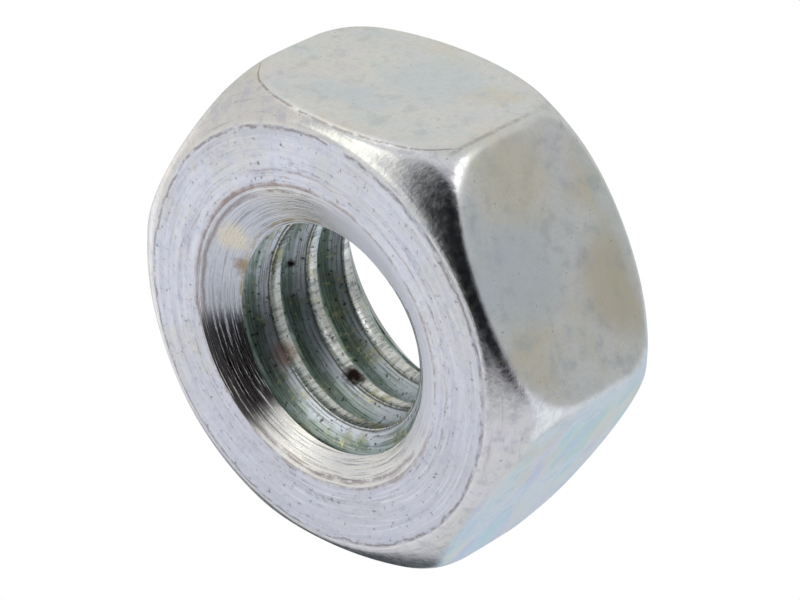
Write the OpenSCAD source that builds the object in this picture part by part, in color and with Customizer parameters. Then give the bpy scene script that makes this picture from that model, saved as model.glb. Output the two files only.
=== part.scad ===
// Plain hex nut, quarter-inch coarse thread, 7/16 inch across the flats.
// The nut lies flat. Its thread axis is +Z and its lower bearing face is on z = 0.
// Lengths are in millimetres and angles in degrees.

/* [Body] */
// Distance across two opposite flats
across_flats = 11.11; // [10.8:0.01:11.5]
// Height from one bearing face to the other
nut_height = 5.45; // [5.3:0.01:5.8]
// Angle of the first corner about the thread axis
corner_turn = 0; // [0:1:59]

/* [Corner chamfer] */
// Diameter of the flat ring on each bearing face
face_dia = 10.44; // [9.6:0.02:10.7]
// Slope of the chamfer where it leaves the bearing face
chamfer_slope = 0.45; // [0.3:0.01:0.6]
// How fast the chamfer steepens towards the corner, per millimetre
chamfer_curve = 0.45; // [0:0.01:0.6]
// How fast the chamfer falls away close to the corner
corner_fall = 3.0; // [0:0.1:6]
// Distance out from the ring at which the corner starts to fall away
corner_start = 0.78; // [0.7:0.01:1.2]
// Cones that make up the curved chamfer
chamfer_steps = 9; // [3:1:12]

/* [Thread] */
// Nominal outside diameter of the mating screw
thread_dia = 6.35; // [6.3:0.01:6.4]
// Distance from one crest to the next
pitch = 1.27; // [1.2:0.01:1.3]
// Diameter of the bore across the thread crests
crest_dia = 5.24; // [5.15:0.01:5.3]
// Width of the flat at the bottom of the groove
root_flat = 0.07; // [0.05:0.01:0.12]
// Included angle of the thread flanks
flank_angle = 60; // [55:1:60]
// Height of a crest at zero angle
crest_phase = 3.47; // [2.9:0.005:4.1]
// Straight pieces in one turn of the thread
turn_steps = 40; // [24:4:60]

/* [Countersink] */
// Diameter of the countersink at the upper face
upper_sink_dia = 7.23; // [6.9:0.01:7.9]
// Diameter of the countersink at the lower face
lower_sink_dia = 7.9; // [6.9:0.01:8.2]
// Included angle of the countersink at the upper face
upper_sink_angle = 120; // [85:1:125]
// Included angle of the countersink at the lower face
lower_sink_angle = 90; // [85:1:125]

/* [Finish] */
// Colour of the plated steel
plate_color = [0.72, 0.74, 0.76];

/* [Hidden] */

$fn = 128;
corner_dia = across_flats / cos(30);
blank_radius = corner_dia / 2 + 0.05;
face_radius = face_dia / 2;
crest_radius = crest_dia / 2;
root_radius = thread_dia / 2;
overrun = 0.5;

deepest_drop = nut_height / 2 - 0.3;

// Fall of the chamfer close to the corner, on top of its even curve.
function corner_drop(out) = corner_fall * pow(max(0, out - corner_start), 2);

// Drop of the chamfer below the bearing face, at a distance out from the ring.
function chamfer_drop(out) =
    min(deepest_drop, out * (chamfer_slope + chamfer_curve * out) + corner_drop(out));

// Points of one chamfer, from the ring outwards.
function chamfer_points() = [
    for (i = [0:chamfer_steps])
        let (out = (blank_radius - face_radius) * i / chamfer_steps)
            [face_radius + out, chamfer_drop(out)]
];

// Half section of the turned blank that rounds off the corners.
function blank_section() = concat(
    [[0, 0]],
    [for (p = chamfer_points()) p],
    [for (i = [chamfer_steps:-1:0]) let (p = chamfer_points()[i]) [p[0], nut_height - p[1]]],
    [[0, nut_height]]
);

// Hexagonal bar, cut off at the nut's height.
module bar() {
    rotate([0, 0, corner_turn])
        cylinder(d = corner_dia, h = nut_height, $fn = 6);
}

// Turned blank with both faces chamfered.
module blank() {
    rotate_extrude()
        polygon(blank_section());
}

// Straight bore, cut to the crest diameter.
module bore() {
    translate([0, 0, -overrun])
        cylinder(r = crest_radius, h = nut_height + 2 * overrun);
}

// Countersink at the lower face, of a given width and included angle, its wide end downwards.
module countersink(sink_dia, angle) {
    slope = tan(angle / 2);
    sink_radius = sink_dia / 2;
    tip_radius = crest_radius - overrun;
    tip_height = (sink_radius - tip_radius) / slope;
    translate([0, 0, -overrun])
        cylinder(r1 = sink_radius + overrun * slope, r2 = tip_radius, h = tip_height + overrun);
}

// Half height of the groove at a radius.
function groove_half(radius) = root_flat / 2 + (root_radius - radius) * tan(flank_angle / 2);

groove_inner = crest_radius - 0.35;
groove_start = -overrun;
groove_end = nut_height + overrun;
groove_turns = (groove_end - groove_start) / pitch;
groove_count = ceil(groove_turns * turn_steps);
groove_phase = crest_phase - pitch / 2;
groove_angle = (groove_start - groove_phase) / pitch * 360;

// The four corners of the groove's section at one step along the helix.
function groove_ring(i) =
    let (
        turn = groove_angle + i * 360 / turn_steps,
        mid = groove_start + i * pitch / turn_steps
    )
    [
        for (c = [[groove_inner, -1], [root_radius, -1], [root_radius, 1], [groove_inner, 1]])
            [c[0] * cos(turn), c[0] * sin(turn), mid + c[1] * groove_half(c[0])]
    ];

// One four-sided band of the groove between two steps.
function groove_band(i, k) =
    let (
        a = 4 * i + k,
        b = 4 * i + (k + 1) % 4
    )
    [[b + 4, a + 4, a], [b, b + 4, a]];

// The cutter for the thread groove, right-handed.
module thread_groove() {
    points = [for (i = [0:groove_count]) each groove_ring(i)];
    last = 4 * groove_count;
    faces = concat(
        [for (i = [0:groove_count - 1]) for (k = [0:3]) each groove_band(i, k)],
        [[2, 1, 0], [3, 2, 0]],
        [[last, last + 1, last + 2], [last, last + 2, last + 3]]
    );
    polyhedron(points = points, faces = faces, convexity = 8);
}

// The nut: one piece of steel.
module hex_nut() {
    color(plate_color)
        difference() {
            intersection() {
                bar();
                blank();
            }
            bore();
            countersink(lower_sink_dia, lower_sink_angle);
            translate([0, 0, nut_height])
                mirror([0, 0, 1])
                    countersink(upper_sink_dia, upper_sink_angle);
            thread_groove();
        }
}

hex_nut();
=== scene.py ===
"""Dresses a plated hex nut: its forged body, its tapped thread, the plating and the studio around it."""

import logging
import math
from dataclasses import dataclass, field
from enum import Enum

import bpy
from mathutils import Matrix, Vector


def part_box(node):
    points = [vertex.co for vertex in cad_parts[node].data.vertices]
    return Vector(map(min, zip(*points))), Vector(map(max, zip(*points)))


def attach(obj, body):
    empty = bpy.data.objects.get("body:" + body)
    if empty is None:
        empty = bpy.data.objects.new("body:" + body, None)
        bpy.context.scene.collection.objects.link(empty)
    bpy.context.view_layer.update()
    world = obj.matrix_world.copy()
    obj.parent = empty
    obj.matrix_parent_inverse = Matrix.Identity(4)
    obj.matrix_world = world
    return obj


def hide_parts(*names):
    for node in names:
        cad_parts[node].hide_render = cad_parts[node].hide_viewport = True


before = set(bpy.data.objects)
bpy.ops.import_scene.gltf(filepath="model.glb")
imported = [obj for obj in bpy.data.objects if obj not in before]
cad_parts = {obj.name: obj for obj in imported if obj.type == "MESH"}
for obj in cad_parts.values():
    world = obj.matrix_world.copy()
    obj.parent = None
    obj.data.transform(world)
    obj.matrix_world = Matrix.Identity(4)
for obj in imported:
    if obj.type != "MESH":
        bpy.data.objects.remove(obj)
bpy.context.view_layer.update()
LOG = logging.getLogger("hex_nut")
NODE = "hex_nut"
MM = 0.001
MERGE_MM = 0.0005
SIXTH_TURN = math.pi / 3.0
LEAST_COSINE = 0.2
FLAT_MARK = "pressed"
BORDER_MARK = "border"
Colour = tuple[float, float, float]
Socket = bpy.types.NodeSocket
Source = Socket | float | tuple[float, ...]


class Zone(Enum):
    """The differently finished surfaces of the nut, in the order of their material slots."""

    SHELL = 0
    FACE = 1
    SINK = 2
    THREAD = 3


def deselect_everything() -> None:
    """Leaves edit mode and clears the selection."""
    if bpy.context.mode != "OBJECT":
        bpy.ops.object.mode_set(mode="OBJECT")
    bpy.ops.object.select_all(action="DESELECT")


def make_active(piece: bpy.types.Object) -> None:
    """Selects one piece alone and makes it the active object.

    Args:
        piece: The object to work on.
    """
    deselect_everything()
    piece.select_set(True)
    bpy.context.view_layer.objects.active = piece


def draw_outline(name: str, points: list[tuple[float, float]], lift: float = 0.0) -> bpy.types.Object:
    """Draws an outline in the plane above the X axis, point by point, and stays in edit mode.

    Args:
        name: The name of the new object.
        points: The points of the outline, as radius and height.
        lift: How far to raise the whole outline.

    Returns:
        The outline, a row of edges.
    """
    deselect_everything()
    bpy.ops.mesh.primitive_plane_add(size=0.1, location=(points[0][0], 0.0, points[0][1] + lift))
    outline = bpy.context.object
    outline.name = name
    bpy.ops.object.transform_apply(location=True, rotation=True, scale=True)
    bpy.ops.object.mode_set(mode="EDIT")
    bpy.ops.mesh.select_all(action="SELECT")
    bpy.ops.mesh.merge(type="CENTER")
    for before, after in zip(points, points[1:]):
        move = (after[0] - before[0], 0.0, after[1] - before[1])
        bpy.ops.mesh.extrude_region_move(TRANSFORM_OT_translate={"value": move})
    return outline


def smooth_least(first: float, second: float, width: float) -> float:
    """Gives the lesser of two lengths, with a rounded change from one to the other.

    Args:
        first: One length.
        second: The other length.
        width: How wide the rounding is, in the same unit.

    Returns:
        The rounded lesser length.
    """
    share = min(1.0, max(0.0, 0.5 + 0.5 * (second - first) / width))
    return second * (1.0 - share) + first * share - width * share * (1.0 - share)


@dataclass
class Blank:
    """The turned blank: half of its outline, spun about the thread axis. Lengths are in millimetres."""

    height: float
    face_radius: float = 5.22
    upper_sink: tuple[float, float] = (3.615, 0.577)
    lower_sink: tuple[float, float] = (3.95, 1.0)
    bore_radius: float = 2.3
    rim_radius: float = 6.465
    chamfer_slope: float = 0.45
    chamfer_curve: float = 0.45
    corner_fall: float = 3.0
    corner_start: float = 0.78
    sink_reach: float = 0.4
    chamfer_reach: float = 0.5
    lip: float = 0.16
    edge: float = 0.10
    steps: int = 480
    side_steps: int = 8

    def drop(self, radius: float, sink: tuple[float, float]) -> float:
        """Gives how far the outline lies inside the bearing face at a radius.

        Args:
            radius: Distance from the thread axis.
            sink: Radius and slope of the countersink on that face.

        Returns:
            The drop, zero on the ring and positive inside the countersink or on the chamfer.
        """
        edge, slope = sink
        if radius < edge + self.sink_reach:
            return max(0.0, -smooth_least((radius - edge) * slope, 0.0, self.lip))
        if radius < self.face_radius - self.chamfer_reach:
            return 0.0
        out = radius - self.face_radius
        chamfer = out * (self.chamfer_slope + self.chamfer_curve * max(out, 0.0))
        chamfer += self.corner_fall * max(0.0, out - self.corner_start) ** 2
        return max(0.0, -smooth_least(-chamfer, 0.0, self.edge))

    def radii(self, sink: tuple[float, float]) -> list[float]:
        """Lists the radii of the outline's rings, closest together where the outline bends.

        Args:
            sink: Radius and slope of the countersink on that face.

        Returns:
            The radii, from the bore outwards.
        """
        edge = sink[0]
        # Where each stretch starts and ends, and how many rings it has.
        stretches = (
            (self.bore_radius, edge - 0.3, 8),
            (edge - 0.3, edge + 0.3, 12),
            (edge + 0.3, self.face_radius - 0.25, 6),
            (self.face_radius - 0.25, self.face_radius + 0.15, 10),
            (self.face_radius + 0.15, self.rim_radius, 24),
        )
        out: list[float] = []
        for start, end, count in stretches:
            out += [start + (end - start) * i / count for i in range(count)]
        return out + [self.rim_radius]

    def outline(self) -> list[tuple[float, float]]:
        """Lists the half outline, from the lower bore edge round to the upper one.

        Returns:
            The points of the outline, as radius and height.
        """
        upper = [(r, self.height - self.drop(r, self.upper_sink)) for r in self.radii(self.upper_sink)]
        lower = [(r, self.drop(r, self.lower_sink)) for r in self.radii(self.lower_sink)]
        low, high = lower[-1][1], upper[-1][1]
        count = self.side_steps
        side = [(self.rim_radius, low + (high - low) * i / count) for i in range(1, count)]
        return lower + side + upper[::-1]

    def build(self, name: str) -> bpy.types.Object:
        """Spins the outline into a closed ring.

        Args:
            name: The name of the new object.

        Returns:
            The blank, in millimetres.
        """
        blank = draw_outline(name, self.outline())
        bpy.ops.mesh.select_all(action="SELECT")
        bpy.ops.mesh.edge_face_add()
        bpy.ops.mesh.delete(type="ONLY_FACE")
        bpy.ops.mesh.select_all(action="SELECT")
        bpy.ops.mesh.spin(steps=self.steps, angle=math.tau, center=(0.0, 0.0, 0.0), axis=(0.0, 0.0, 1.0))
        bpy.ops.mesh.select_all(action="SELECT")
        bpy.ops.mesh.remove_doubles(threshold=MERGE_MM)
        bpy.ops.mesh.normals_make_consistent(inside=False)
        bpy.ops.object.mode_set(mode="OBJECT")
        return blank


@dataclass
class HexPress:
    """The forging dies that press the six flats into the blank."""

    across_flats: float
    height: float
    corner_round: float = 0.14
    corner_ease: float = 0.20
    ease_depth: float = 1.8
    edge_round: float = 0.22
    border_share: float = 0.45

    def reach(self, angle: float, depth: float) -> float:
        """Gives the hexagon's radius in a direction, with its corners eased, most of all near the faces.

        Args:
            angle: Direction about the thread axis, in radians, with a corner at zero.
            depth: Distance below the nearer bearing face.

        Returns:
            The distance from the axis to the flat or corner.
        """
        rounding = self.corner_round + self.corner_ease * math.exp(-((depth / self.ease_depth) ** 2))
        within = angle % SIXTH_TURN
        half = self.across_flats / 2.0
        first = half / max(LEAST_COSINE, math.cos(within - 0.5 * SIXTH_TURN))
        beside = half / max(LEAST_COSINE, math.cos(within + 0.5 * SIXTH_TURN))
        other = half / max(LEAST_COSINE, math.cos(within - 1.5 * SIXTH_TURN))
        eased = smooth_least(first, beside, rounding)
        return smooth_least(eased, other, rounding)

    def share(self, point: Vector) -> float:
        """Gives how much of a flat there is at a point of the pressed nut.

        Args:
            point: A point of the surface, in millimetres.

        Returns:
            One on a flat, falling to zero where the chamfer is untouched.
        """
        depth = min(point.z, self.height - point.z)
        gap = self.reach(math.atan2(point.y, point.x), depth) - math.hypot(point.x, point.y)
        return min(1.0, max(0.0, 1.0 - gap / (self.edge_round * self.border_share)))

    def past_border(self, point: Vector, blank: Blank) -> float:
        """Gives how far below the front border of its flat a point lies.

        Args:
            point: A point of the surface, in millimetres.
            blank: The blank that the nut was pressed from.

        Returns:
            The distance along the flat, zero on its border with the chamfer and less on the chamfer.
        """
        upper = point.z > self.height / 2.0
        depth = self.height - point.z if upper else point.z
        reach = self.reach(math.atan2(point.y, point.x), depth)
        return depth - blank.drop(reach, blank.upper_sink if upper else blank.lower_sink)

    def press(self, blank: bpy.types.Object) -> None:
        """Moves every point of the blank that stands outside the hexagon onto its flats.

        Args:
            blank: The turned blank.
        """
        for vertex in blank.data.vertices:
            radius = math.hypot(vertex.co.x, vertex.co.y)
            if radius < self.across_flats / 2.0 - self.edge_round * 2.0:
                continue
            depth = min(vertex.co.z, self.height - vertex.co.z)
            reach = self.reach(math.atan2(vertex.co.y, vertex.co.x), depth)
            pressed = smooth_least(radius, reach, self.edge_round)
            vertex.co.x *= pressed / radius
            vertex.co.y *= pressed / radius


@dataclass
class Tap:
    """The tap that cuts the thread: a right-hand helix with eased crests. Lengths are in millimetres."""

    pitch: float = 1.27
    crest_radius: float = 2.62
    root_radius: float = 3.17
    crest_width: float = 0.34
    root_width: float = 0.17
    crest_height: float = 3.47
    steps: int = 120
    turns: int = 8

    def tooth(self) -> list[tuple[float, float]]:
        """Lists one pitch of the outline, starting in the middle of a crest.

        Returns:
            The points of the outline, as radius and offset along the axis.
        """
        depth = self.root_radius - self.crest_radius
        crest = self.crest_width / 2.0
        root = self.root_width / 2.0
        foot = self.pitch / 2.0 - root
        run = foot - crest
        # The flat crest, its eased edge, the flank and the rounded root.
        half = [
            (self.crest_radius, 0.0),
            (self.crest_radius + 0.002, crest * 0.8),
            (self.crest_radius + 0.018, crest),
            (self.crest_radius + 0.06, crest + run * 0.06),
            (self.crest_radius + depth * 0.5, crest + run * 0.48),
            (self.root_radius - 0.05, foot - run * 0.08),
            (self.root_radius - 0.012, foot + root * 0.25),
            (self.root_radius, self.pitch / 2.0),
        ]
        mirrored = [(r, self.pitch - z) for r, z in half[-2::-1]]
        return half + mirrored

    def build(self, name: str, height: float) -> bpy.types.Object:
        """Winds the outline up the axis and closes its ends.

        Args:
            name: The name of the new object.
            height: Height of the nut, which the tap passes right through.

        Returns:
            The tap, in millimetres.
        """
        length = self.pitch * (self.turns + 1)
        below = self.crest_height + length / 2.0 - height / 2.0
        lift = self.crest_height - self.pitch * math.ceil(below / self.pitch)
        tap = draw_outline(name, self.tooth(), lift)
        bpy.ops.object.mode_set(mode="OBJECT")
        winding = tap.modifiers.new("winding", "SCREW")
        winding.axis = "Z"
        winding.angle = math.tau
        winding.screw_offset = self.pitch
        winding.iterations = self.turns
        winding.steps = self.steps
        winding.render_steps = self.steps
        winding.use_merge_vertices = True
        winding.merge_threshold = MERGE_MM
        make_active(tap)
        bpy.ops.object.modifier_apply(modifier="winding")
        bpy.ops.object.mode_set(mode="EDIT")
        bpy.ops.mesh.select_all(action="SELECT")
        bpy.ops.mesh.remove_doubles(threshold=MERGE_MM)
        bpy.ops.mesh.select_all(action="DESELECT")
        bpy.ops.mesh.select_non_manifold(extend=False, use_wire=False, use_multi_face=False)
        bpy.ops.mesh.edge_face_add()
        bpy.ops.mesh.select_all(action="SELECT")
        bpy.ops.mesh.normals_make_consistent(inside=False)
        bpy.ops.object.mode_set(mode="OBJECT")
        return tap


@dataclass
class HexNut:
    """The nut itself: the pressed blank with its thread tapped, in plated steel."""

    across_flats: float
    height: float
    finishes: dict[Zone, bpy.types.Material]
    sink_margin: float = 0.12
    sink_gap: float = 0.015
    sink_level: float = 0.55
    ring_margin: float = 0.01
    sharp_angle: float = 28.0
    piece: bpy.types.Object | None = field(default=None, init=False)

    def forge(self) -> None:
        """Makes the blank, presses its flats and taps its thread."""
        blank = Blank(height=self.height)
        body = blank.build("nut_body")
        press = HexPress(across_flats=self.across_flats, height=self.height)
        press.press(body)
        tap = Tap().build("thread_tap", self.height)
        make_active(body)
        cut = body.modifiers.new("thread", "BOOLEAN")
        cut.operation = "DIFFERENCE"
        cut.solver = "EXACT"
        cut.object = tap
        bpy.ops.object.modifier_apply(modifier="thread")
        bpy.data.objects.remove(tap, do_unlink=True)
        make_active(body)
        bpy.ops.object.mode_set(mode="EDIT")
        bpy.ops.mesh.select_all(action="SELECT")
        bpy.ops.mesh.remove_doubles(threshold=MERGE_MM)
        bpy.ops.mesh.dissolve_degenerate(threshold=MERGE_MM)
        bpy.ops.mesh.normals_make_consistent(inside=False)
        bpy.ops.object.mode_set(mode="OBJECT")
        self.piece = body
        self.mark_zones(blank)
        self.mark_borders(press, blank)
        self.to_metres()

    def mark_borders(self, press: HexPress, blank: Blank) -> None:
        """Notes at every point how much of a flat it is, and how far it lies past the flat's border.

        Args:
            press: The dies that pressed the nut.
            blank: The blank that the nut was pressed from.
        """
        mesh = self.piece.data
        mesh.attributes.new(FLAT_MARK, "FLOAT", "POINT")
        mesh.attributes.new(BORDER_MARK, "FLOAT", "POINT")
        shares = mesh.attributes[FLAT_MARK].data
        pasts = mesh.attributes[BORDER_MARK].data
        for vertex, share, past in zip(mesh.vertices, shares, pasts):
            share.value = press.share(vertex.co)
            past.value = press.past_border(vertex.co, blank)

    def zone_of(self, face: bpy.types.MeshPolygon, blank: Blank) -> Zone:
        """Names the surface that a face belongs to, by its place and direction.

        Args:
            face: A face of the nut, in millimetres.
            blank: The blank that the nut was pressed from.

        Returns:
            The zone of the face.
        """
        radius = math.hypot(face.center.x, face.center.y)
        depth = min(face.center.z, self.height - face.center.z)
        level = abs(face.normal.z)
        upper = face.center.z > self.height / 2.0
        sink = blank.upper_sink if upper else blank.lower_sink
        if radius < sink[0] + self.sink_margin:
            on_cone = abs(depth - blank.drop(radius, sink)) < self.sink_gap
            return Zone.SINK if on_cone and level > self.sink_level else Zone.THREAD
        return Zone.FACE if radius < blank.face_radius - self.ring_margin else Zone.SHELL

    def mark_zones(self, blank: Blank) -> None:
        """Gives every face the finish of its zone.

        Args:
            blank: The blank that the nut was pressed from.
        """
        mesh = self.piece.data
        mesh.materials.clear()
        for zone in Zone:
            mesh.materials.append(self.finishes[zone])
        for face in mesh.polygons:
            face.material_index = self.zone_of(face, blank).value

    def to_metres(self) -> None:
        """Brings the nut from millimetres to metres and shades it smooth between its sharp edges."""
        make_active(self.piece)
        self.piece.scale = (MM, MM, MM)
        bpy.ops.object.transform_apply(location=True, rotation=True, scale=True)
        bpy.ops.object.shade_smooth_by_angle(angle=math.radians(self.sharp_angle))

    def declare(self) -> None:
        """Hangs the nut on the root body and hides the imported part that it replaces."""
        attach(self.piece, "root")
        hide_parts(NODE)


@dataclass(frozen=True)
class Places:
    """Where a point of the nut lies, as sockets that materials can use, in millimetres."""

    point: Socket
    around: Socket
    radius: Socket
    height: Socket


class Graph:
    """A node tree that is drawn one node at a time."""

    def __init__(self, tree: bpy.types.NodeTree) -> None:
        """Empties the tree.

        Args:
            tree: The node tree of a material or of the world.
        """
        self.tree = tree
        tree.nodes.clear()

    def node(self, kind: str) -> bpy.types.Node:
        """Adds a node of one kind."""
        return self.tree.nodes.new(kind)

    def feed(self, socket: Socket, source: Source) -> None:
        """Links a source to a socket, or sets the socket when the source is a plain value.

        Args:
            socket: The input to fill.
            source: A socket, a number, a colour or a vector.
        """
        if isinstance(source, Socket):
            self.tree.links.new(source, socket)
            return
        if socket.type == "RGBA" and len(source) == 3:
            source = (*source, 1.0)
        socket.default_value = source

    def sum(self, operation: str, first: Source, second: Source = 0.0) -> Socket:
        """Works out one sum of two numbers.

        Args:
            operation: The sum, by its Blender name.
            first: The first number or socket.
            second: The second number or socket.

        Returns:
            The result.
        """
        node = self.node("ShaderNodeMath")
        node.operation = operation
        self.feed(node.inputs[0], first)
        self.feed(node.inputs[1], second)
        return node.outputs[0]

    def vector(self, operation: str, first: Source, second: Source = (0.0, 0.0, 0.0)) -> Socket:
        """Works out one sum of two vectors.

        Args:
            operation: The sum, by its Blender name.
            first: The first vector or socket.
            second: The second vector or socket.

        Returns:
            The result, a number for a dot product, a length or a distance.
        """
        node = self.node("ShaderNodeVectorMath")
        node.operation = operation
        self.feed(node.inputs[0], first)
        self.feed(node.inputs[1], second)
        plain = operation in ("DOT_PRODUCT", "LENGTH", "DISTANCE")
        return node.outputs["Value" if plain else "Vector"]

    def joined(self, x: Source, y: Source, z: Source) -> Socket:
        """Joins three numbers into a vector.

        Args:
            x: The first number.
            y: The second number.
            z: The third number.

        Returns:
            The vector.
        """
        node = self.node("ShaderNodeCombineXYZ")
        for socket, source in zip(node.inputs, (x, y, z)):
            self.feed(socket, source)
        return node.outputs[0]

    def attribute(self, name: str) -> Socket:
        """Reads a number that was noted at the points of the nut.

        Args:
            name: The name of the attribute.

        Returns:
            The number.
        """
        node = self.node("ShaderNodeAttribute")
        node.attribute_name = name
        return node.outputs["Fac"]

    def places(self) -> Places:
        """Works out where the shaded point lies on the nut.

        Returns:
            The point, the way it faces from the axis, its radius and its height.
        """
        coordinates = self.node("ShaderNodeTexCoord").outputs["Object"]
        point = self.vector("MULTIPLY", coordinates, (1000.0, 1000.0, 1000.0))
        level = self.vector("MULTIPLY", point, (1.0, 1.0, 0.0))
        split = self.node("ShaderNodeSeparateXYZ")
        self.feed(split.inputs[0], point)
        around = self.vector("NORMALIZE", level)
        return Places(point, around, self.vector("LENGTH", level), split.outputs[2])

    def noise(self, vector: Source, scale: float, detail: float, rough: float) -> Socket:
        """Adds a cloud of noise about one half.

        Args:
            vector: Where to read the noise.
            scale: How fine it is.
            detail: How many finer layers it has.
            rough: How strong the finer layers are.

        Returns:
            The noise, mostly between 0.2 and 0.8.
        """
        node = self.node("ShaderNodeTexNoise")
        self.feed(node.inputs["Vector"], vector)
        node.inputs["Scale"].default_value = scale
        node.inputs["Detail"].default_value = detail
        node.inputs["Roughness"].default_value = rough
        return node.outputs["Fac"]

    def spread(self, value: Source, low: float, high: float, start: float = 0.0, end: float = 1.0) -> Socket:
        """Spreads a range of values smoothly over another range.

        Args:
            value: The value to spread.
            low: Where the range starts.
            high: Where it ends; it may be below low.
            start: What low becomes.
            end: What high becomes.

        Returns:
            The spread value.
        """
        node = self.node("ShaderNodeMapRange")
        node.interpolation_type = "SMOOTHSTEP"
        flipped = high < low
        ends = (high, low, end, start) if flipped else (low, high, start, end)
        self.feed(node.inputs["Value"], value)
        for socket, number in zip(list(node.inputs)[1:5], ends):
            socket.default_value = number
        return node.outputs[0]

    def mix(self, share: Source, under: Source, over: Source) -> Socket:
        """Lays one colour over another.

        Args:
            share: How much of the upper colour shows.
            under: The colour below.
            over: The colour on top.

        Returns:
            The mixed colour.
        """
        node = self.node("ShaderNodeMix")
        node.data_type = "RGBA"
        self.feed(node.inputs[0], share)
        self.feed(node.inputs[6], under)
        self.feed(node.inputs[7], over)
        return node.outputs[2]

    def ramp(self, value: Source, stops: tuple[tuple[float, Colour], ...]) -> Socket:
        """Turns a number into a colour that runs through several stops.

        Args:
            value: The number, from zero to one.
            stops: Places from zero to one with their colours.

        Returns:
            The colour.
        """
        node = self.node("ShaderNodeValToRGB")
        self.feed(node.inputs[0], value)
        band = node.color_ramp
        while len(band.elements) < len(stops):
            band.elements.new(0.5)
        for element, (place, colour) in zip(band.elements, stops):
            element.position = place
            element.color = (*colour, 1.0)
        return node.outputs[0]

    def toward(self, around: Source, angle: float, full: float, none: float) -> Socket:
        """Marks the side of the nut that faces one way.

        Args:
            around: Unit vector from the axis.
            angle: The way, in degrees about the axis.
            full: How far to each side the mark is full, in degrees.
            none: How far to each side the mark has faded out, in degrees.

        Returns:
            One inside the mark and zero away from it.
        """
        turn = math.radians(angle)
        facing = self.vector("DOT_PRODUCT", around, (math.cos(turn), math.sin(turn), 0.0))
        return self.spread(facing, math.cos(math.radians(none)), math.cos(math.radians(full)))

    def spot(self, point: Source, centre: tuple[float, float, float], size: float, ragged: float) -> Socket:
        """Marks a ragged spot on the surface.

        Args:
            point: The shaded point, in millimetres.
            centre: The middle of the spot, in millimetres.
            size: Its radius.
            ragged: How far its edge wanders.

        Returns:
            One inside the spot and zero away from it.
        """
        away = self.vector("DISTANCE", point, centre)
        wander = self.sum("MULTIPLY", self.noise(point, min(8.0, 1.4 / size), 6.0, 0.75), ragged)
        reach = self.sum("ADD", away, wander)
        return self.spread(reach, size + ragged * 0.75, size * 0.55 + ragged * 0.4)

    def ring(self, radius: Source, middle: float, half: float, soft: float) -> Socket:
        """Marks a ring about the axis, or a band beside a line.

        Args:
            radius: Distance from the axis, or from any other line.
            middle: That distance at the ring's middle.
            half: Half its width.
            soft: How wide its soft edge is.

        Returns:
            One inside the ring and zero away from it.
        """
        away = self.sum("ABSOLUTE", self.sum("SUBTRACT", radius, middle))
        return self.spread(away, half + soft, max(half - soft, 0.0))

    def blend(self, share: Source, first: Source, second: Source) -> Socket:
        """Runs from one number to another.

        Args:
            share: How far to go, from zero to one.
            first: The number at zero.
            second: The number at one.

        Returns:
            The number between.
        """
        node = self.node("ShaderNodeMix")
        for socket, source in zip(list(node.inputs)[:1] + list(node.inputs)[2:4], (share, first, second)):
            self.feed(socket, source)
        return node.outputs[0]

    def times(self, *parts: Source) -> Socket:
        """Multiplies several numbers together.

        Args:
            parts: The numbers.

        Returns:
            Their product.
        """
        product = parts[0]
        for part in parts[1:]:
            product = self.sum("MULTIPLY", product, part)
        return product


@dataclass(frozen=True)
class Skin:
    """What a finish gives its shader: a colour, a roughness and a height for the bumps."""

    colour: Socket
    roughness: Socket
    relief: Socket


@dataclass(frozen=True)
class Stain:
    """A ragged stain on the nut. Its middle and its size are in millimetres."""

    centre: tuple[float, float, float]
    size: float
    ragged: float
    strength: float
    colour: Colour

    def lay(self, graph: Graph, point: Source, under: Source) -> Socket:
        """Lays the stain over a colour.

        Args:
            graph: The material's node tree.
            point: The shaded point, in millimetres.
            under: The colour without the stain.

        Returns:
            The stained colour.
        """
        mark = graph.spot(point, self.centre, self.size, self.ragged)
        return graph.mix(graph.times(mark, self.strength), under, self.colour)


@dataclass(frozen=True)
class Finish:
    """Plated steel: one metallic shader whose look is drawn by the finishes below."""

    name: str
    tint: Colour
    bump: float = 0.3
    bump_depth: float = 0.00002

    def skin(self, graph: Graph, places: Places) -> Skin:
        """Draws the finish.

        Args:
            graph: The material's node tree.
            places: Where the shaded point lies.

        Returns:
            The colour, roughness and relief.
        """
        raise NotImplementedError

    def make(self) -> bpy.types.Material:
        """Makes the material.

        Returns:
            The new material.
        """
        material = bpy.data.materials.new(self.name)
        material.use_nodes = True
        graph = Graph(material.node_tree)
        skin = self.skin(graph, graph.places())
        shader = graph.node("ShaderNodeBsdfPrincipled")
        shader.inputs["Metallic"].default_value = 1.0
        graph.feed(shader.inputs["Base Color"], skin.colour)
        graph.feed(shader.inputs["Roughness"], skin.roughness)
        bump = graph.node("ShaderNodeBump")
        bump.inputs["Strength"].default_value = self.bump
        bump.inputs["Distance"].default_value = self.bump_depth
        graph.feed(bump.inputs["Height"], skin.relief)
        graph.feed(shader.inputs["Normal"], bump.outputs[0])
        output = graph.node("ShaderNodeOutputMaterial")
        graph.feed(output.inputs["Surface"], shader.outputs[0])
        return material


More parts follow.
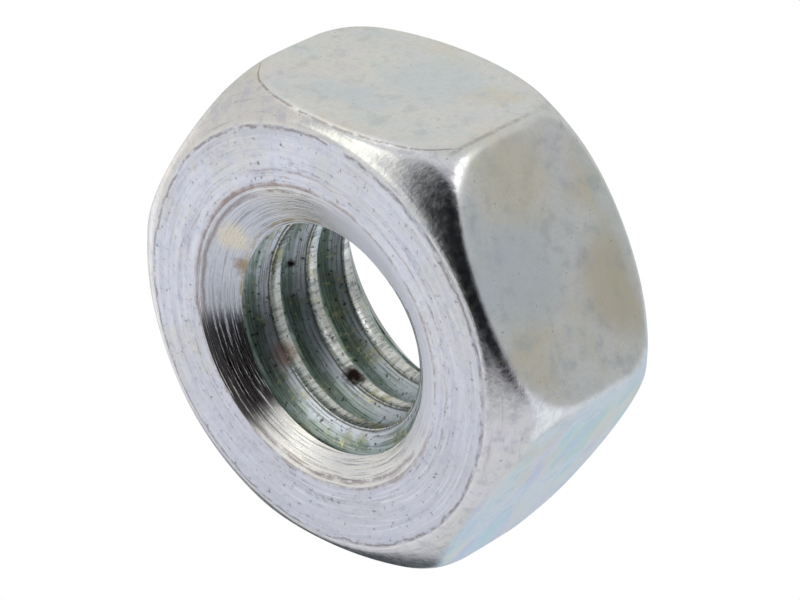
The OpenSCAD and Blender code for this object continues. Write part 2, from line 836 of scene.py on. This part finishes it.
@dataclass(frozen=True)
class FlatFinish(Finish):
    """The six pressed flats: satin plate with clouds, yellow patches, specks and a few rainbow streaks."""

    patch: Colour = (0.84, 0.78, 0.62)
    shade: Colour = (0.66, 0.70, 0.72)
    cool: Colour = (0.76, 0.83, 0.88)
    speck: Colour = (0.26, 0.26, 0.24)
    glint: Colour = (0.92, 0.92, 0.90)
    low_tan: Stain = Stain((4.2, -3.7, 0.9), 1.5, 0.8, 0.55, (0.66, 0.56, 0.34))
    streaks: float = 0.60
    stains: tuple[Stain, ...] = (
        Stain((5.9, -0.9, 3.0), 1.2, 1.6, 0.65, (0.88, 0.80, 0.62)),
        Stain((4.9, -2.6, 3.9), 1.4, 1.4, 0.55, (0.68, 0.75, 0.82)),
        Stain((5.1, 2.3, 2.0), 1.2, 1.6, 0.60, (0.74, 0.82, 0.88)),
    )
    bands: tuple[tuple[float, Colour], ...] = (
        (0.0, (0.58, 0.86, 0.84)),
        (0.18, (0.66, 0.82, 0.92)),
        (0.34, (0.70, 0.72, 0.94)),
        (0.46, (0.90, 0.74, 0.86)),
        (0.60, (0.98, 0.86, 0.78)),
        (0.80, (0.92, 0.90, 0.74)),
        (1.0, (0.58, 0.86, 0.84)),
    )

    def rainbow(self, graph: Graph, places: Places) -> tuple[Socket, Socket]:
        """Draws the rainbow streaks of the passivation, strongest on one flat.

        Args:
            graph: The material's node tree.
            places: Where the shaded point lies.

        Returns:
            The share of the streaks and their colour.
        """
        along = graph.vector("MULTIPLY", places.point, (0.16, 0.30, 0.55))
        drift = graph.noise(along, 1.3, 3.0, 0.5)
        colour = graph.ramp(graph.sum("FRACT", graph.sum("MULTIPLY", drift, 3.4)), self.bands)
        most = graph.toward(places.around, -90.0, 24.0, 34.0)
        wisps = graph.spread(graph.noise(places.point, 0.5, 4.0, 0.6), 0.40, 0.58)
        share = graph.times(wisps, graph.spread(most, 0.0, 1.0, 0.22, 1.0), self.streaks)
        return share, colour

    def stained(self, graph: Graph, places: Places, colour: Source) -> Socket:
        """Lays the stains over the plate.

        Args:
            graph: The material's node tree.
            places: Where the shaded point lies.
            colour: The colour of the plate.

        Returns:
            The stained colour.
        """
        tan = self.low_tan
        arc = graph.times(
            graph.toward(places.around, -30.0, 24.0, 30.0),
            graph.spot(places.point, tan.centre, tan.size, tan.ragged),
            graph.spread(places.height, 0.3, 0.9),
        )
        colour = graph.mix(graph.times(arc, tan.strength), colour, tan.colour)
        for stain in self.stains:
            colour = stain.lay(graph, places.point, colour)
        return colour

    def skin(self, graph: Graph, places: Places) -> Skin:
        """Draws the finish of the flats.

        Args:
            graph: The material's node tree.
            places: Where the shaded point lies.

        Returns:
            The colour, roughness and relief.
        """
        clouds = graph.noise(places.point, 0.45, 5.0, 0.55)
        mottle = graph.noise(places.point, 2.2, 6.0, 0.62)
        grains = graph.noise(places.point, 9.0, 4.0, 0.6)
        colour = graph.mix(graph.spread(clouds, 0.50, 0.68, 0.0, 0.8), self.tint, self.patch)
        colour = graph.mix(graph.spread(clouds, 0.46, 0.30, 0.0, 0.8), colour, self.cool)
        colour = graph.mix(graph.spread(mottle, 0.50, 0.32, 0.0, 0.65), colour, self.shade)
        share, bands = self.rainbow(graph, places)
        colour = self.stained(graph, places, graph.mix(share, colour, bands))
        colour = graph.mix(graph.spread(grains, 0.66, 0.72, 0.0, 0.5), colour, self.speck)
        colour = graph.mix(graph.spread(grains, 0.52, 0.38, 0.0, 0.25), colour, self.shade)
        pale = graph.spread(graph.noise(places.point, 6.0, 3.0, 0.6), 0.70, 0.76, 0.0, 0.5)
        colour = graph.mix(pale, colour, self.glint)
        roughness = graph.spread(mottle, 0.3, 0.7, 0.34, 0.46)
        relief = graph.sum("ADD", graph.sum("MULTIPLY", clouds, 1.2), graph.sum("MULTIPLY", grains, 0.35))
        return Skin(colour, roughness, relief)


@dataclass(frozen=True)
class TurnedFinish(Finish):
    """A surface with turning marks round the axis."""

    pit: Colour = (0.20, 0.19, 0.21)

    def turned(self, graph: Graph, places: Places, along: float, across: float) -> Socket:
        """Draws turning marks, long about the axis and fine across it.

        Args:
            graph: The material's node tree.
            places: Where the shaded point lies.
            along: How quickly the marks change about the axis.
            across: How fine they are across the radius.

        Returns:
            The marks, as noise about one half.
        """
        round_trip = graph.vector("MULTIPLY", places.around, (along, along, along))
        stepped = graph.joined(0.0, 0.0, graph.sum("MULTIPLY", places.radius, across))
        return graph.noise(graph.vector("ADD", round_trip, stepped), 1.0, 5.0, 0.6)


@dataclass(frozen=True)
class RingFinish(TurnedFinish):
    """The bearing faces: turned rings, dark pits, worn edges, painted shade and painted light."""

    worn: Colour = (0.34, 0.31, 0.31)
    tan: Colour = (0.46, 0.38, 0.32)
    brown: Colour = (0.40, 0.31, 0.29)
    dull: Colour = (0.80, 0.81, 0.82)
    # Painted shade: the colour of the darkened side towards -125 degrees.
    shaded: Colour = (0.70, 0.72, 0.80)
    cloud: Colour = (0.62, 0.66, 0.78)
    # Painted light: cream for the lightened patches on the side towards 100 degrees.
    cream: Colour = (0.95, 0.88, 0.76)
    furrow: Colour = (0.56, 0.57, 0.66)
    bright: Colour = (0.97, 0.97, 1.0)

    def plated(self, graph: Graph, places: Places) -> Socket:
        """Draws the broad colours of the plating, with painted shade and painted light on two sides.

        Args:
            graph: The material's node tree.
            places: Where the shaded point lies.

        Returns:
            The colour before any marks.
        """
        clouds = graph.noise(places.point, 0.6, 3.0, 0.5)
        colour = graph.mix(graph.spread(clouds, 0.42, 0.62), self.tint, self.dull)
        # Painted shade: the side towards -125 degrees is darkened to the shaded colour.
        away = graph.times(graph.toward(places.around, -125.0, 20.0, 95.0), 0.75)
        colour = graph.mix(away, colour, self.shaded)
        soft = graph.noise(places.point, 2.4, 6.0, 0.65)
        colour = graph.mix(graph.spread(soft, 0.52, 0.36, 0.0, 0.40), colour, self.cloud)
        # Painted light: cream patches lighten the side towards 100 degrees.
        warm = graph.times(graph.spread(soft, 0.54, 0.66), graph.toward(places.around, 100.0, 30.0, 80.0))
        return graph.mix(graph.times(warm, 0.5), colour, self.cream)

    def worn_rings(self, graph: Graph, places: Places, colour: Source) -> Socket:
        """Draws the worn outer edge and the stained rings round the countersink.

        Args:
            graph: The material's node tree.
            places: Where the shaded point lies.
            colour: The colour of the face.

        Returns:
            The colour with its rings.
        """
        frayed = graph.spread(graph.noise(places.point, 2.6, 7.0, 0.72), 0.38, 0.56)
        wander = graph.sum("MULTIPLY", graph.noise(places.point, 1.4, 5.0, 0.65), 0.34)
        wavy = graph.sum("ADD", places.radius, wander)
        rim = graph.times(graph.ring(wavy, 5.32, 0.02, 0.045), frayed)
        colour = graph.mix(graph.times(rim, 0.85), colour, self.worn)
        stain = graph.times(graph.ring(wavy, 3.90, 0.04, 0.07), frayed)
        colour = graph.mix(graph.times(stain, 0.7), colour, self.tan)
        upper = graph.times(graph.toward(places.around, 78.0, 30.0, 66.0), graph.ring(wavy, 3.88, 0.05, 0.12))
        colour = graph.mix(graph.times(upper, 0.75), colour, self.brown)
        second = graph.times(graph.ring(wavy, 4.28, 0.01, 0.03), frayed)
        return graph.mix(graph.times(second, 0.45), colour, self.tan)

    def skin(self, graph: Graph, places: Places) -> Skin:
        """Draws the finish of the bearing faces.

        Args:
            graph: The material's node tree.
            places: Where the shaded point lies.

        Returns:
            The colour, roughness and relief.
        """
        broad = self.turned(graph, places, 1.1, 4.5)
        fine = self.turned(graph, places, 2.6, 17.0)
        grit = graph.noise(places.point, 7.0, 5.0, 0.65)
        colour = self.plated(graph, places)
        inner = graph.spread(places.radius, 4.6, 3.9, 0.30, 1.0)
        colour = graph.mix(graph.spread(broad, 0.58, 0.36, 0.0, 0.40), colour, self.furrow)
        colour = graph.mix(graph.spread(fine, 0.55, 0.68, 0.0, 0.6), colour, self.bright)
        marks = graph.times(graph.spread(fine, 0.47, 0.36), graph.spread(grit, 0.42, 0.58), inner)
        colour = graph.mix(graph.times(marks, 0.75), colour, self.worn)
        colour = graph.mix(graph.spread(grit, 0.62, 0.69, 0.0, 0.8), colour, self.pit)
        colour = self.worn_rings(graph, places, colour)
        relief = graph.sum("ADD", graph.sum("MULTIPLY", broad, 0.6), graph.sum("MULTIPLY", fine, 1.0))
        return Skin(colour, graph.spread(grit, 0.3, 0.7, 0.32, 0.46), relief)


@dataclass(frozen=True)
class ChamferFinish(TurnedFinish):
    """The corner chamfers: nearly bright, with fine marks round the axis and a few specks."""

    greenish: Colour = (0.80, 0.82, 0.76)
    warm: Colour = (0.84, 0.81, 0.72)
    cloud: Colour = (0.64, 0.65, 0.68)
    cream: Colour = (0.96, 0.93, 0.84)
    mark: Colour = (0.46, 0.45, 0.44)

    def skin(self, graph: Graph, places: Places) -> Skin:
        """Draws the finish of the chamfers.

        Args:
            graph: The material's node tree.
            places: Where the shaded point lies.

        Returns:
            The colour, roughness and relief.
        """
        fine = self.turned(graph, places, 3.0, 12.0)
        grit = graph.noise(places.point, 6.0, 5.0, 0.65)
        clouds = graph.noise(places.point, 0.7, 3.0, 0.5)
        soft = graph.noise(places.point, 2.6, 7.0, 0.70)
        colour = graph.mix(graph.spread(clouds, 0.40, 0.62, 0.0, 0.7), self.tint, self.greenish)
        side = graph.toward(places.around, 66.0, 24.0, 44.0)
        colour = graph.mix(graph.times(side, 0.85), colour, self.warm)
        colour = graph.mix(graph.spread(soft, 0.54, 0.36, 0.0, 0.70), colour, self.cloud)
        colour = graph.mix(graph.spread(soft, 0.58, 0.70, 0.0, 0.60), colour, self.cream)
        colour = graph.mix(graph.spread(fine, 0.44, 0.30, 0.0, 0.45), colour, self.mark)
        colour = graph.mix(graph.spread(grit, 0.64, 0.72, 0.0, 0.6), colour, self.pit)
        relief = graph.sum("ADD", graph.sum("MULTIPLY", fine, 0.5), graph.sum("MULTIPLY", grit, 0.6))
        return Skin(colour, graph.spread(grit, 0.3, 0.7, 0.15, 0.27), relief)


@dataclass(frozen=True)
class ShellFinish(Finish):
    """The whole outside of the nut: flats and chamfers, which run softly into one another."""

    # Painted shade: the colour of the thin dark line along one flat's border and fold.
    crease_shade: Colour = (0.30, 0.26, 0.24)
    flat: Finish = FlatFinish("flat", (0.89, 0.89, 0.88))
    chamfer: Finish = ChamferFinish("chamfer", (0.86, 0.86, 0.87))

    def crease_shade_line(self, graph: Graph, places: Places) -> Socket:
        """Draws painted shade: the thin dark line on the front border of one flat and along its fold with the
        next one.

        Args:
            graph: The material's node tree.
            places: Where the shaded point lies.

        Returns:
            How dark the line is, from zero to one.
        """
        past = graph.attribute(BORDER_MARK)
        frayed = graph.spread(graph.noise(places.point, 5.0, 5.0, 0.65), 0.36, 0.54)
        wander = graph.sum("MULTIPLY", graph.noise(places.point, 2.5, 4.0, 0.6), 0.06)
        border = graph.ring(graph.sum("ADD", past, wander), 0.04, 0.02, 0.035)
        one_flat = graph.toward(places.around, 30.0, 27.0, 31.0)
        line = graph.times(border, frayed, one_flat, graph.spread(places.height, 3.2, 4.0), 0.75)
        beside = graph.vector("DOT_PRODUCT", places.point, (0.0, 1.0, 0.0))
        edge = graph.ring(graph.sum("ADD", beside, wander), 0.14, 0.02, 0.07)
        one_corner = graph.toward(places.around, 2.0, 4.0, 6.0)
        ends = graph.times(graph.spread(places.height, 1.0, 2.4), graph.spread(places.height, 4.5, 4.2))
        fold = graph.times(edge, one_corner, ends, graph.spread(frayed, 0.0, 1.0, 0.4, 1.0), 0.45)
        return graph.sum("MAXIMUM", line, fold)

    def skin(self, graph: Graph, places: Places) -> Skin:
        """Draws the finish of the outside.

        Args:
            graph: The material's node tree.
            places: Where the shaded point lies.

        Returns:
            The colour, roughness and relief.
        """
        flat = self.flat.skin(graph, places)
        chamfer = self.chamfer.skin(graph, places)
        share = graph.spread(graph.attribute(FLAT_MARK), 0.25, 0.95)
        colour = graph.mix(share, chamfer.colour, flat.colour)
        # Painted shade: a thin dark line along one flat's front border and its fold with the next.
        colour = graph.mix(self.crease_shade_line(graph, places), colour, self.crease_shade)
        roughness = graph.blend(share, chamfer.roughness, flat.roughness)
        return Skin(colour, roughness, graph.blend(share, chamfer.relief, flat.relief))


@dataclass(frozen=True)
class SinkFinish(TurnedFinish):
    """The countersinks: bright turned cones, deep chatter marks, tan stains, painted reflection and sheen."""

    warm: Colour = (0.90, 0.89, 0.82)
    calm: Colour = (0.72, 0.76, 0.84)
    chatter: Colour = (0.26, 0.25, 0.24)
    outer_stain: Colour = (0.34, 0.28, 0.27)
    inner_stain: Colour = (0.50, 0.40, 0.20)
    # Painted sheen: pale bluish white for the side towards -28 degrees.
    near: Colour = (0.88, 0.90, 0.98)
    # Painted reflection: near-black for the streaked band on the side towards 156 degrees.
    painted_dark_reflection: Colour = (0.04, 0.035, 0.035)
    stains: tuple[Stain, ...] = (
        Stain((-0.1, 3.15, 5.2), 0.45, 0.60, 0.70, (0.96, 0.88, 0.66)),
        Stain((-0.75, 2.68, 4.95), 0.20, 0.60, 0.75, (0.40, 0.27, 0.15)),
    )

    def skin(self, graph: Graph, places: Places) -> Skin:
        """Draws the finish of the countersinks.

        Args:
            graph: The material's node tree.
            places: Where the shaded point lies.

        Returns:
            The colour, roughness and relief.
        """
        broad = self.turned(graph, places, 1.4, 7.0)
        fine = self.turned(graph, places, 2.4, 30.0)
        grit = graph.noise(places.point, 5.0, 5.0, 0.65)
        near = graph.toward(places.around, -28.0, 30.0, 78.0)
        calm = graph.toward(places.around, 105.0, 30.0, 55.0)
        colour = graph.mix(graph.spread(broad, 0.38, 0.62), self.tint, self.warm)
        colour = graph.mix(graph.times(calm, 0.85), colour, self.calm)
        cuts = graph.times(graph.spread(fine, 0.47, 0.36), graph.blend(calm, 0.75, 0.45))
        colour = graph.mix(cuts, colour, self.chatter)
        for stain in self.stains:
            colour = stain.lay(graph, places.point, colour)
        frayed = graph.spread(graph.noise(places.point, 1.8, 6.0, 0.7), 0.40, 0.56)
        wander = graph.sum("MULTIPLY", graph.noise(places.point, 1.4, 5.0, 0.65), 0.20)
        wavy = graph.sum("ADD", places.radius, wander)
        outer = graph.times(graph.ring(wavy, 3.68, 0.03, 0.06), graph.blend(calm, frayed, 1.0))
        colour = graph.mix(graph.times(outer, 0.75), colour, self.outer_stain)
        inner = graph.times(graph.ring(wavy, 2.84, 0.02, 0.05), frayed)
        colour = graph.mix(graph.times(inner, 0.8), colour, self.inner_stain)
        # Painted sheen: the side towards -28 degrees turns pale bluish white; the same mask makes it rougher.
        colour = graph.mix(graph.times(near, 0.9), colour, self.near)
        # Painted reflection: a streaked near-black band on the side towards 156 degrees.
        dark = graph.times(graph.toward(places.around, 156.0, 17.0, 29.0), graph.spread(fine, 0.60, 0.53))
        colour = graph.mix(graph.times(dark, 0.94), colour, self.painted_dark_reflection)
        relief = graph.sum("ADD", graph.sum("MULTIPLY", broad, 1.0), graph.sum("MULTIPLY", fine, 1.3))
        rough = graph.blend(near, graph.spread(grit, 0.3, 0.7, 0.12, 0.22), 0.55)
        return Skin(colour, rough, relief)


@dataclass(frozen=True)
class ThreadFinish(Finish):
    """The thread: scraped pale crests over dark green grooves, with two spots of rust."""

    scraped: Colour = (0.40, 0.42, 0.42)
    chip: Colour = (1.0, 1.0, 1.0)
    flank: Colour = (0.88, 0.94, 1.0)
    drawn: Colour = (0.24, 0.28, 0.27)
    groove: Colour = (0.30, 0.40, 0.34)
    groove_pale: Colour = (0.66, 0.76, 0.72)
    groove_blue: Colour = (0.70, 0.80, 0.86)
    olive: Colour = (0.52, 0.50, 0.26)
    glint: Colour = (0.95, 0.90, 0.55)
    soot: Colour = (0.08, 0.08, 0.06)
    # Painted shade: near-black for the thin line along the crests' edges.
    edge: Colour = (0.10, 0.10, 0.09)
    rust: Colour = (0.06, 0.035, 0.03)
    blush: Stain = Stain((-2.6, 0.9, 4.2), 0.35, 0.35, 0.60, (0.50, 0.28, 0.20))

    def skin(self, graph: Graph, places: Places) -> Skin:
        """Draws the finish of the thread.

        Args:
            graph: The material's node tree.
            places: Where the shaded point lies.

        Returns:
            The colour, roughness and relief.
        """
        lifted = graph.joined(0.0, 0.0, graph.sum("MULTIPLY", places.height, 1.6))
        chips = graph.vector("ADD", graph.vector("MULTIPLY", places.around, (30.0, 30.0, 30.0)), lifted)
        scrape = graph.noise(chips, 1.0, 3.0, 0.6)
        stepped = graph.joined(0.0, 0.0, graph.sum("MULTIPLY", places.radius, 24.0))
        pulled = graph.vector("ADD", graph.vector("MULTIPLY", places.around, (2.0, 2.0, 2.0)), stepped)
        lines = graph.noise(pulled, 1.0, 4.0, 0.6)
        wash = graph.noise(places.point, 1.3, 5.0, 0.6)
        grit = graph.noise(places.point, 7.0, 5.0, 0.65)
        deep = graph.spread(places.radius, 2.66, 2.69)
        crest = graph.mix(graph.spread(scrape, 0.52, 0.38, 0.0, 0.8), self.tint, self.scraped)
        crest = graph.mix(graph.spread(scrape, 0.58, 0.68), crest, self.chip)
        flank = graph.mix(graph.spread(lines, 0.50, 0.38, 0.0, 0.70), self.flank, self.drawn)
        sunk = graph.spread(graph.sum("ADD", places.radius, graph.sum("MULTIPLY", wash, 0.6)), 3.06, 3.32)
        hollow = graph.mix(graph.spread(lines, 0.46, 0.62), self.groove, self.groove_pale)
        hollow = graph.mix(graph.spread(wash, 0.46, 0.34, 0.0, 0.8), hollow, self.groove_blue)
        colour = graph.mix(deep, crest, graph.mix(sunk, flank, hollow))
        olive = graph.times(graph.spread(wash, 0.50, 0.62), graph.spread(lines, 0.44, 0.58))
        colour = graph.mix(graph.times(olive, 0.55), colour, self.olive)
        bright = graph.times(graph.spread(grit, 0.55, 0.64), graph.spread(wash, 0.47, 0.60))
        colour = graph.mix(bright, colour, self.glint)
        colour = graph.mix(graph.spread(grit, 0.42, 0.34, 0.0, 0.85), colour, self.soot)
        # Painted shade: a thin dark line along the crests' edges, where the flanks begin.
        edge = graph.ring(places.radius, 2.68, 0.012, 0.02)
        colour = graph.mix(graph.times(edge, 0.8), colour, self.edge)
        colour = self.blush.lay(graph, places.point, colour)
        spots = graph.sum(
            "MAXIMUM",
            graph.spot(places.point, (-2.6, -0.43, 2.9), 0.26, 0.50),
            graph.spot(places.point, (-1.6, 2.5, 3.04), 0.09, 0.26),
        )
        colour = graph.mix(spots, colour, self.rust)
        cut = graph.times(scrape, graph.spread(deep, 0.0, 1.0, 0.6, 0.05))
        relief = graph.sum("ADD", cut, graph.sum("ADD", lines, graph.sum("MULTIPLY", grit, 0.5)))
        satin = graph.blend(deep, graph.spread(grit, 0.3, 0.7, 0.20, 0.34), 0.42)
        return Skin(colour, graph.blend(spots, satin, 0.8), relief)


@dataclass(frozen=True)
class Glow:
    """One soft light or dark flag of the studio, in a direction from the nut.

    It is full up to the inner angle from that direction and fades out at the outer one.
    """

    name: str
    turn: float
    lift: float
    inner: float
    outer: float
    colour: Colour

    def way(self) -> tuple[float, float, float]:
        """Gives the direction of the light's middle."""
        turn, lift = math.radians(self.turn), math.radians(self.lift)
        return (math.cos(turn) * math.cos(lift), math.sin(turn) * math.cos(lift), math.sin(lift))


@dataclass
class Studio:
    """The pale floor, the soft light all round and the camera."""

    floor_size: float = 0.4
    floor_gap: float = 0.00002
    paper: Colour = (1.0, 1.0, 1.0)
    camera_place: tuple[float, float, float] = (0.0609207, -0.0212340, 0.0586268)
    camera_turn: tuple[float, float, float] = (-28.315, 41.816, -58.018)
    lens: float = 163.57
    sensor: float = 36.0
    nearest: float = 0.005
    farthest: float = 10.0
    sky: Colour = (0.66, 0.66, 0.70)
    glows: tuple[Glow, ...] = (
        Glow("below", 0.0, -90.0, 55.0, 95.0, (0.60, 0.61, 0.60)),
        Glow("grey_card_below", -45.0, -42.0, 12.0, 48.0, (0.40, 0.41, 0.41)),
        Glow("blue_card_below", -150.0, -40.0, 15.0, 40.0, (0.57, 0.66, 0.76)),
        Glow("flag_low", 182.0, -13.0, 8.0, 25.0, (0.06, 0.07, 0.08)),
        Glow("flag_behind_camera", -28.0, 44.0, 30.0, 50.0, (0.008, 0.009, 0.012)),
        Glow("flag_in_front", -30.0, 6.0, 12.0, 24.0, (0.008, 0.009, 0.012)),
        Glow("flag_overhead", -80.0, 80.0, 13.0, 22.0, (0.004, 0.004, 0.004)),
        Glow("card_above_face", 160.0, 42.0, 10.0, 34.0, (0.80, 0.80, 0.82)),
        Glow("box_beside", 62.0, 2.0, 6.0, 20.0, (1.25, 1.25, 1.25)),
        Glow("box_shoulder", 60.0, 42.0, 6.0, 15.0, (1.50, 1.48, 1.42)),
        Glow("box_far", 142.0, -4.0, 8.0, 24.0, (0.98, 0.97, 1.00)),
        Glow("card_below_left", 84.0, -42.0, 12.0, 36.0, (0.66, 0.655, 0.625)),
        Glow("box_high", 86.0, 57.0, 6.0, 15.0, (1.50, 1.48, 1.36)),
        Glow("box_corner", -10.0, -19.0, 8.0, 17.0, (1.60, 1.60, 1.58)),
        Glow("box_low_front", -88.0, -16.0, 12.0, 34.0, (0.86, 0.89, 0.95)),
    )

    def lay_floor(self) -> None:
        """Lays a plain pale floor that only the camera sees, and only from above."""
        bpy.ops.mesh.primitive_plane_add(size=self.floor_size, location=(0.0, 0.0, -self.floor_gap))
        floor = bpy.context.object
        floor.name = "floor"
        material = bpy.data.materials.new("pale_floor")
        material.use_nodes = True
        graph = Graph(material.node_tree)
        shine = graph.node("ShaderNodeEmission")
        graph.feed(shine.inputs["Color"], self.paper)
        clear = graph.node("ShaderNodeBsdfTransparent")
        side = graph.node("ShaderNodeMixShader")
        graph.feed(side.inputs[0], graph.node("ShaderNodeNewGeometry").outputs["Backfacing"])
        graph.feed(side.inputs[1], shine.outputs[0])
        graph.feed(side.inputs[2], clear.outputs[0])
        output = graph.node("ShaderNodeOutputMaterial")
        graph.feed(output.inputs["Surface"], side.outputs[0])
        floor.data.materials.append(material)
        floor.visible_glossy = False
        floor.visible_diffuse = False
        floor.visible_shadow = False

    def light(self) -> None:
        """Surrounds the nut with soft light, broken by dark flags and brighter boxes."""
        world = bpy.data.worlds.new("soft_studio")
        world.use_nodes = True
        graph = Graph(world.node_tree)
        way = graph.vector("NORMALIZE", graph.node("ShaderNodeTexCoord").outputs["Generated"])
        colour: Source = self.sky
        for glow in self.glows:
            facing = graph.vector("DOT_PRODUCT", way, glow.way())
            nearest = math.cos(math.radians(glow.inner))
            farthest = math.cos(math.radians(glow.outer))
            colour = graph.mix(graph.spread(facing, farthest, nearest), colour, glow.colour)
        soft = graph.node("ShaderNodeBackground")
        graph.feed(soft.inputs["Color"], colour)
        paper = graph.node("ShaderNodeBackground")
        graph.feed(paper.inputs["Color"], self.paper)
        chosen = graph.node("ShaderNodeMixShader")
        graph.feed(chosen.inputs[0], graph.node("ShaderNodeLightPath").outputs["Is Camera Ray"])
        graph.feed(chosen.inputs[1], soft.outputs[0])
        graph.feed(chosen.inputs[2], paper.outputs[0])
        output = graph.node("ShaderNodeOutputWorld")
        graph.feed(output.inputs["Surface"], chosen.outputs[0])
        bpy.context.scene.world = world

    def set_camera(self) -> None:
        """Looks down at the nut from one side, through a long lens."""
        bpy.ops.object.camera_add(location=self.camera_place)
        camera = bpy.context.object
        camera.name = "camera"
        camera.rotation_euler = [math.radians(angle) for angle in self.camera_turn]
        camera.data.sensor_width = self.sensor
        camera.data.lens = self.lens
        camera.data.clip_start = self.nearest
        camera.data.clip_end = self.farthest
        camera.data.dof.use_dof = False
        bpy.context.scene.camera = camera
        bpy.context.scene.view_settings.view_transform = "Standard"

    def build(self) -> None:
        """Sets up the whole studio."""
        self.lay_floor()
        self.light()
        self.set_camera()


def plated_finishes() -> dict[Zone, bpy.types.Material]:
    """Makes the four finishes of the nut.

    Returns:
        The material of each zone.
    """
    return {
        Zone.SHELL: ShellFinish("plate_outside", (0.89, 0.89, 0.88), bump=0.5).make(),
        Zone.FACE: RingFinish("plate_face", (0.86, 0.885, 0.97), bump=0.8).make(),
        Zone.SINK: SinkFinish("plate_countersink", (0.84, 0.84, 0.82), bump=0.9).make(),
        Zone.THREAD: ThreadFinish("plate_thread", (0.80, 0.81, 0.78), bump=0.7).make(),
    }


def main() -> None:
    """Builds the nut and the studio, and logs how many faces the nut has."""
    logging.basicConfig(level=logging.INFO, format="%(name)s: %(message)s")
    low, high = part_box(NODE)
    nut = HexNut(
        across_flats=(high.y - low.y) / MM,
        height=(high.z - low.z) / MM,
        finishes=plated_finishes(),
    )
    nut.forge()
    nut.declare()
    LOG.info("%s has %d faces", nut.piece.name, len(nut.piece.data.polygons))
    Studio().build()


if __name__ == "__main__":
    main()
